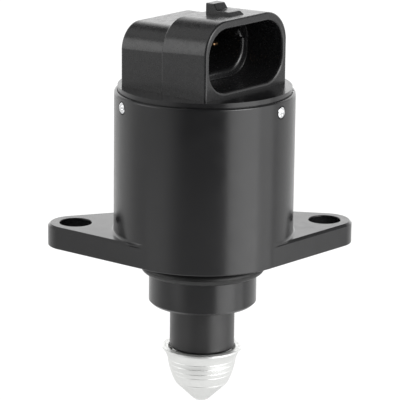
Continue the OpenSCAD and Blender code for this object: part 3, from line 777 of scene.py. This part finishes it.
# The spring
# Bright round wire, coiled between the pintle's dish and the guide's web. It takes up the play of
# the thread, and its end turns are closed.
WIRE_R = 0.3
SPRING_R = 4.2
SPRING_TURNS = 7
SPRING_LOW_Z = -20.38
SPRING_HIGH_Z = -9.82
CLOSED_RISE = 0.62
WIRE_SIDES = 12
TURN_STEPS = 40

bpy.ops.object.select_all(action="DESELECT")
bpy.ops.mesh.primitive_circle_add(
    vertices=WIRE_SIDES,
    radius=WIRE_R * MM,
    location=(SPRING_R * MM, 0, 0),
    rotation=(math.pi / 2, 0, 0),
)
spring = bpy.context.object
spring.name = "coiled_spring"
bpy.ops.object.transform_apply()
coiled = spring.modifiers.new("coiled", "SCREW")
coiled.axis = "Z"
coiled.angle = 2 * math.pi
coiled.screw_offset = 0
coiled.iterations = SPRING_TURNS
coiled.steps = TURN_STEPS
coiled.render_steps = TURN_STEPS
coiled.use_merge_vertices = False
bpy.ops.object.modifier_apply(modifier=coiled.name)
open_rise = (SPRING_HIGH_Z - SPRING_LOW_Z - 2 * CLOSED_RISE) / (SPRING_TURNS - 2)
for i, v in enumerate(spring.data.vertices):
    turn = (i // WIRE_SIDES) / TURN_STEPS
    low = min(turn, 1) * CLOSED_RISE
    middle = min(max(turn - 1, 0), SPRING_TURNS - 2) * open_rise
    high = max(turn - SPRING_TURNS + 1, 0) * CLOSED_RISE
    v.co.z += (SPRING_LOW_Z + low + middle + high) * MM
bpy.ops.object.mode_set(mode="EDIT")
bpy.ops.mesh.select_all(action="SELECT")
bpy.ops.mesh.fill_holes(sides=WIRE_SIDES)
bpy.ops.mesh.normals_make_consistent(inside=False)
bpy.ops.object.mode_set(mode="OBJECT")
bright_wire, tree, shader, place, relief = finish(
    "spring_steel", (0.36, 0.37, 0.39), (0.50, 0.51, 0.52), (0.18, 0.30), 2, 0.12, 0.002, metallic=1.0
)
painted(spring, bright_wire)
smooth(spring, 60)
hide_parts("anti_backlash_spring")
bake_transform(spring)

# The motor
# Bearing, rotor and stators stay as the solids have them. Each metal and plastic has its own
# finish: ground steel, brass, sintered bronze, ferrite, natural nylon, zinc plate and copper wire.
bearing_steel = finish(
    "bearing_steel", (0.56, 0.57, 0.59), (0.68, 0.69, 0.70), (0.14, 0.24), 4, 0.1, 0.001, metallic=1.0
)[0]
ball_steel = finish(
    "ball_steel", (0.76, 0.77, 0.78), (0.84, 0.84, 0.85), (0.05, 0.09), 1.5, 0.1, 0.0004, metallic=1.0
)[0]
cage_brass = finish(
    "cage_brass", (0.62, 0.44, 0.18), (0.74, 0.56, 0.27), (0.26, 0.38), 2.5, 0.2, 0.003, metallic=1.0
)[0]
natural_plastic = finish(
    "natural_plastic", (0.70, 0.66, 0.54), (0.80, 0.77, 0.66), (0.38, 0.50), 4, 0.3, 0.006
)[0]
ferrite = finish(
    "magnet_ferrite", (0.070, 0.066, 0.066), (0.11, 0.104, 0.104), (0.42, 0.56), 2, 0.12, 0.008
)[0]
bronze = finish(
    "bush_bronze", (0.40, 0.25, 0.11), (0.58, 0.39, 0.20), (0.40, 0.55), 1.6, 0.14, 0.012, metallic=1.0
)[0]
zinc_plate = finish(
    "stator_steel", (0.48, 0.49, 0.50), (0.62, 0.63, 0.64), (0.28, 0.44), 5, 0.35, 0.004, metallic=1.0
)[0]
copper, tree, shader, place, relief = finish(
    "coil_copper", (0.46, 0.17, 0.06), (0.62, 0.29, 0.12), (0.22, 0.34), 4, 0.2, 0.002, metallic=1.0
)
WIRE_PITCH = 0.16
turns = tree.nodes.new("ShaderNodeTexWave")
turns.wave_type = "BANDS"
turns.bands_direction = "Z"
turns.inputs["Scale"].default_value = math.pi / (10 * WIRE_PITCH * MM)
turns.inputs["Distortion"].default_value = 0.6
turns.inputs["Detail"].default_value = 1
tree.links.new(place, turns.inputs["Vector"])
bumped(tree, shader, turns.outputs["Fac"], 0.03, relief)

for node, material in (
    ("bearing_outer_race", bearing_steel),
    ("bearing_inner_race", bearing_steel),
    ("bearing_balls", ball_steel),
    ("bearing_cage", cage_brass),
    ("bearing_retainer", bright_wire),
    ("rotor_hub", natural_plastic),
    ("rotor_magnet", ferrite),
    ("thrust_washer", natural_plastic),
    ("rear_bush", bronze),
    ("lower_stator_cup", zinc_plate),
    ("lower_pole_plate", zinc_plate),
    ("lower_bobbin", natural_plastic),
    ("lower_coil", copper),
    ("upper_stator_cup", zinc_plate),
    ("upper_pole_plate", zinc_plate),
    ("upper_bobbin", natural_plastic),
    ("upper_coil", copper),
    ("wave_washer", bright_wire),
    ("cap_seal", rubber),
):
    painted(nodes[node], material)


# The connector cap
# One black nylon moulding: a plate and skirt pressed into the rim, a squared block over the
# terminals, and a hood round the socket with a latch tab on its roof. It has a fine eroded grain.
CAP_Z = 33.3
CAP_UNDER_Z = 30.8
SKIRT_Z = 28.5
SKIRT_R = 16.85
SKIRT_IN_R = 13.95
CAP_STEP = 0.7
PLATE_R = 16.55
PLATE_GROOVE_R = 16.2
BOSS_R = 6.0
BOSS_Z = 26.9
BUSH_R = 4.52
BUSH_Z = 26.5
BUSH_TOP_Z = 30.6
BLOCK_W = 24.0
BLOCK_H = 12.8
BLOCK_BACK = 11.4
BLOCK_ROUND = 4.6
BLOCK_SLOPE = 1.3
HOOD_W = 24.6
HOOD_H = 14.9
HOOD_FRONT = 10.4
HOOD_BACK = 0.8
HOOD_ROUND = 5.8
HOOD_SLOPE = 2.2
SOCKET_W = 22.0
SOCKET_H = 12.2
SOCKET_MID_Z = 40.85
SOCKET_ROUND = 5.0
MOUTH_EDGE = 0.6
LEDGE_Y = -1.5
LEDGE_W = 1.6
POCKET_END_Y = 6.5
POCKET_ROUND = 4.0
POCKET_EDGE = 0.7
KEY_RIB = 1.5
KEY_RIB_RISE = 1.6
MOULD_EDGE = 0.5
CREASE_LEAN = 4
CREASE_TILT = 0.07


def block(name, low, high):
    """A box between two corners in millimetres."""
    bpy.ops.object.select_all(action="DESELECT")
    bpy.ops.mesh.primitive_cube_add(
        size=1,
        location=[(a + b) / 2 * MM for a, b in zip(low, high)],
        scale=[(b - a) * MM for a, b in zip(low, high)],
    )
    bpy.ops.object.transform_apply()
    made = bpy.context.object
    made.name = name
    return made


def arched(name, width, height, corner, y_back, y_front, slope):
    """The block's or hood's outside: an arch drawn along Y, whose roof rises to the front.

    The rounding meets the wall in a faint crease, as the mould leaves it, and grows to the back."""
    low = CAP_Z - 0.6
    radius = corner / (1 - math.sin(math.radians(CREASE_LEAN)))
    middle_x = width / 2 - radius * math.cos(math.radians(CREASE_LEAN))
    rounding = arc(middle_x, CAP_Z + height - radius, radius, CREASE_LEAN, 90, 20)
    outline = [(width / 2, low)] + rounding
    outline += [(-x, z) for x, z in reversed(outline)]
    bpy.ops.object.select_all(action="DESELECT")
    bpy.ops.mesh.primitive_circle_add(vertices=len(outline), radius=MM, fill_type="NGON")
    made = bpy.context.object
    made.name = name
    for v, (x, z) in zip(made.data.vertices, outline):
        v.co = (x * MM, y_back * MM, z * MM)
    bpy.ops.object.mode_set(mode="EDIT")
    bpy.ops.mesh.select_all(action="SELECT")
    bpy.ops.mesh.extrude_region_move(
        TRANSFORM_OT_translate={"value": (0, (y_front - y_back) * MM, 0)}
    )
    bpy.ops.mesh.select_all(action="SELECT")
    bpy.ops.mesh.normals_make_consistent(inside=False)
    bpy.ops.object.mode_set(mode="OBJECT")
    rise = (y_back - y_front) * math.tan(math.radians(slope))
    for v in made.data.vertices:
        reach = max(0, v.co.z / MM - (CAP_Z + height - corner)) / corner
        if v.co.z < (CAP_Z + 1) * MM:
            continue
        if v.co.y < (y_front + 0.1) * MM:
            v.co.z += ((1 - reach) * corner * CREASE_TILT + rise * reach) * MM
        else:
            v.co.z -= (1 - reach) * corner * CREASE_TILT * MM
    return made


cap = turned(
    "moulded_cap",
    [
        (TINY, BUSH_TOP_Z),
        (BUSH_R, BUSH_TOP_Z),
        (BUSH_R, BOSS_Z),
        (BOSS_R, BOSS_Z),
        (BOSS_R, CAP_UNDER_Z),
        (SKIRT_IN_R, CAP_UNDER_Z),
        (SKIRT_IN_R, SKIRT_Z),
        (SKIRT_R - 0.2, SKIRT_Z),
        (SKIRT_R, SKIRT_Z + 0.2),
        (SKIRT_R, CAP_Z - CAP_STEP),
        (SKIRT_R - 0.1, CAP_Z - CAP_STEP + 0.08),
        (PLATE_GROOVE_R, CAP_Z - CAP_STEP + 0.1),
        (PLATE_GROOVE_R, CAP_Z - 0.42),
        (PLATE_R - 0.08, CAP_Z - 0.42),
        (PLATE_R, CAP_Z - 0.34),
    ]
    + arc(PLATE_R - 0.3, CAP_Z - 0.3, 0.3, 0, 90, 5)
    + [(TINY, CAP_Z)],
)
back_block = arched("back_block", BLOCK_W, BLOCK_H, BLOCK_ROUND, BLOCK_BACK, HOOD_BACK - 1, BLOCK_SLOPE)
bevel_where(back_block, lambda m, d: m.y > BLOCK_BACK - 0.01, MOULD_EDGE, 4)
hood = arched("hood", HOOD_W, HOOD_H, HOOD_ROUND, HOOD_BACK, -HOOD_FRONT, HOOD_SLOPE)
bevel_where(
    hood,
    lambda m, d: (m.y > HOOD_BACK - 0.01 or m.y < 0.01 - HOOD_FRONT) and m.z > CAP_Z,
    MOULD_EDGE,
    4,
)
boolean(cap, back_block, "UNION")
boolean(cap, hood, "UNION")


def rounded_box(name, width, height, corner, y_front, y_back):
    """A cutter for the socket: a box whose long edges are round."""
    made = block(
        name,
        (-width / 2, y_front, SOCKET_MID_Z - height / 2),
        (width / 2, y_back, SOCKET_MID_Z + height / 2),
    )
    bevel_where(made, lambda m, d: abs(d.y) > max(abs(d.x), abs(d.z)), corner, 20)
    return made


socket_cut = rounded_box("socket_cut", SOCKET_W, SOCKET_H, SOCKET_ROUND, -HOOD_FRONT - 1, LEDGE_Y)
bevel_where(socket_cut, lambda m, d: m.y > LEDGE_Y - 0.01, 0.3, 3)
boolean(cap, socket_cut, "DIFFERENCE")
pocket_w = SOCKET_W - 2 * LEDGE_W
pocket_h = SOCKET_H - 2 * LEDGE_W
pocket_cut = rounded_box("pocket_cut", pocket_w, pocket_h, POCKET_ROUND, LEDGE_Y - 1, POCKET_END_Y)
key = block(
    "key",
    (pocket_w / 2 - KEY_RIB, LEDGE_Y, SOCKET_MID_Z + KEY_RIB_RISE),
    (pocket_w / 2 + 1, POCKET_END_Y + 1, SOCKET_MID_Z + KEY_RIB_RISE + KEY_RIB),
)
boolean(pocket_cut, key, "DIFFERENCE")
boolean(cap, pocket_cut, "DIFFERENCE")


def from_outline(point, width, height, corner):
    """How far a point lies outside a rounded outline, seen from the mouth."""
    x = abs(point.x) - (width / 2 - corner)
    z = abs(point.z - SOCKET_MID_Z) - (height / 2 - corner)
    return math.hypot(max(x, 0), max(z, 0)) + min(max(x, z), 0) - corner


bevel_where(
    cap,
    lambda m, d: abs(m.y + HOOD_FRONT) < 0.01
    and abs(d.y) < 0.01
    and abs(from_outline(m, SOCKET_W, SOCKET_H, SOCKET_ROUND)) < 0.04,
    MOUTH_EDGE,
    5,
)
bevel_where(
    cap,
    lambda m, d: abs(m.y - LEDGE_Y) < 0.01
    and abs(d.y) < 0.01
    and from_outline(m, pocket_w, pocket_h, POCKET_ROUND) < 0.05,
    POCKET_EDGE,
    5,
)

TAB_W = 3.4
TAB_H = 2.2
TAB_TOP_Z = CAP_Z + HOOD_H
TAB_SIDE = (
    (-1.3, -0.5),
    (-1.3, TAB_H),
    (-3.3, TAB_H),
    (-4.2, 1.0),
    (-7.0, 1.0),
    (-8.8, -0.1),
    (-7.0, -0.5),
)
bpy.ops.object.select_all(action="DESELECT")
bpy.ops.mesh.primitive_circle_add(vertices=len(TAB_SIDE), radius=MM, fill_type="NGON")
tab = bpy.context.object
for v, (y, z) in zip(tab.data.vertices, TAB_SIDE):
    v.co = (-TAB_W / 2 * MM, y * MM, (TAB_TOP_Z + z) * MM)
bpy.ops.object.mode_set(mode="EDIT")
bpy.ops.mesh.select_all(action="SELECT")
bpy.ops.mesh.extrude_region_move(TRANSFORM_OT_translate={"value": (TAB_W * MM, 0, 0)})
bpy.ops.mesh.select_all(action="SELECT")
bpy.ops.mesh.normals_make_consistent(inside=False)
bpy.ops.object.mode_set(mode="OBJECT")
bevel_where(tab, lambda m, d: m.z > TAB_TOP_Z + 0.5, 0.2, 3)
boolean(cap, tab, "UNION")
nylon, tree, shader, place, relief = finish(
    "cap_plastic", (0.006, 0.006, 0.0065), (0.010, 0.010, 0.0105), (0.22, 0.32), 3, 0.3, 0.006
)
bumped(tree, shader, texture(tree, place, 1.1), 0.012, relief)
painted(cap, nylon)


def on_crease(point, width, height, corner, y_back, y_front):
    along = (y_back - point.y) / (y_back - y_front)
    crease_z = CAP_Z + height - corner * (1 + CREASE_TILT * (1 - 2 * along))
    return abs(point.z - crease_z) < 0.04 and abs(abs(point.x) - width / 2) < 0.04 and 0 < along < 1


smooth(
    cap,
    28,
    lambda m, d: abs(d.y) > 0.1
    and (
        on_crease(m, HOOD_W, HOOD_H, HOOD_ROUND, HOOD_BACK, -HOOD_FRONT)
        or on_crease(m, BLOCK_W, BLOCK_H, BLOCK_ROUND, BLOCK_BACK, HOOD_BACK - 1)
    ),
)
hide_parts("connector_cap")
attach(cap, "valve_body")


# The locking pins
# Three bright steel pins, driven through the rim into the cap. Their domed heads carry the small
# dents of the punch that set them.
PIN_PROUD = 0.45
PIN_DENT = 0.24

dome = (PIN_R**2 + PIN_PROUD**2) / (2 * PIN_PROUD)
foot = math.degrees(math.asin((dome - PIN_PROUD) / dome))
head = arc(0, PIN_PROUD - dome, dome, foot, 88, 12)
pins = []
for number, turn in enumerate(PIN_TURNS):
    pin = turned(
        "pin",
        [(TINY, -PIN_L), (PIN_R - 0.2, -PIN_L), (PIN_R, -PIN_L + 0.2), (PIN_R, -0.05)]
        + head
        + [(TINY, PIN_PROUD)],
        sides=40,
    )
    for v in pin.data.vertices:
        x, y, z = v.co / MM
        if z > -0.02:
            spot = math.hypot(x - 0.25, y + 0.2)
            wave = math.sin(5 * x + number) * math.sin(6 * y + 2 * number)
            v.co.z -= PIN_DENT * MM * (math.exp(-((spot / 0.35) ** 2)) + 0.4 * max(0, wave))
    only(pin)
    bpy.ops.transform.rotate(
        value=-math.pi / 2, orient_axis="Y", center_override=(0, 0, 0)
    )
    pins.append(pin)
    bpy.ops.object.transform_apply()
    lean = math.radians(turn)
    for v in pin.data.vertices:
        x, y, z = v.co
        x += BODY_R * MM
        z += PIN_Z * MM
        v.co = (x * math.cos(lean) - y * math.sin(lean), x * math.sin(lean) + y * math.cos(lean), z)
only(pins[0])
for pin in pins[1:]:
    pin.select_set(True)
bpy.ops.object.join()
pins = pins[0]
pins.name = "punched_pins"
pin_steel, tree, shader, place, relief = finish(
    "pin_steel", (0.56, 0.57, 0.58), (0.76, 0.76, 0.77), (0.12, 0.22), 0.8, 0.15, 0.006, metallic=1.0
)
painted(pins, pin_steel)
smooth(pins, 40)
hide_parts("locking_pins")
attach(pins, "valve_body")

# The terminals
# Four stamped blades of bright copper alloy in a row behind the ledge. Each has a tapered tip,
# and a leg that runs down through the cap to the coils.
PITCH = 3.5
BLADE_W = 1.6
BLADE_T = 0.8
BLADE_TIP_Y = 1.7
BLADE_END_Y = 9.2
LEG_Z = 28.6
TIP_TAPER = 0.9
TIP_KEEP = 0.6

alloy, tree, shader, place, relief = finish(
    "terminal_brass", (0.62, 0.34, 0.16), (0.74, 0.47, 0.27), (0.24, 0.34), 1.2, 0.1, 0.002, metallic=1.0
)
for number, letter in enumerate("abcd"):
    x = (number - 1.5) * PITCH
    blade = block(
        "blade_" + letter,
        (x - BLADE_W / 2, BLADE_TIP_Y + TIP_TAPER, SOCKET_MID_Z - BLADE_T / 2),
        (x + BLADE_W / 2, BLADE_END_Y - BLADE_T, SOCKET_MID_Z + BLADE_T / 2),
    )
    bpy.ops.object.mode_set(mode="EDIT")
    bpy.ops.mesh.select_mode(type="FACE")
    bpy.ops.mesh.select_all(action="DESELECT")
    bpy.ops.object.mode_set(mode="OBJECT")
    for face in blade.data.polygons:
        face.select = face.normal.y < -0.9
    bpy.ops.object.mode_set(mode="EDIT")
    bpy.ops.mesh.extrude_region_move(
        TRANSFORM_OT_translate={"value": (0, -TIP_TAPER * MM, 0)}
    )
    bpy.ops.transform.resize(
        value=(0.82, 1, TIP_KEEP),
        center_override=(x * MM, BLADE_TIP_Y * MM, SOCKET_MID_Z * MM),
    )
    bpy.ops.mesh.select_all(action="DESELECT")
    bpy.ops.object.mode_set(mode="OBJECT")
    for face in blade.data.polygons:
        face.select = face.normal.y > 0.9
    bpy.ops.object.mode_set(mode="EDIT")
    bpy.ops.mesh.extrude_region_move(
        TRANSFORM_OT_translate={"value": (0, BLADE_T * MM, 0)}
    )
    bpy.ops.mesh.select_all(action="DESELECT")
    bpy.ops.object.mode_set(mode="OBJECT")
    for face in blade.data.polygons:
        face.select = face.normal.z < -0.9 and face.center.y > (BLADE_END_Y - BLADE_T) * MM
    bpy.ops.object.mode_set(mode="EDIT")
    bpy.ops.mesh.extrude_region_move(
        TRANSFORM_OT_translate={"value": (0, 0, (LEG_Z + BLADE_T / 2 - SOCKET_MID_Z) * MM)}
    )
    bpy.ops.object.mode_set(mode="OBJECT")
    bevel_where(blade, lambda m, d: d.length > 0.2, 0.11, 3)
    painted(blade, alloy)
    smooth(blade, 35)
    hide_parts("terminal_" + letter)
    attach(blade, "valve_body")
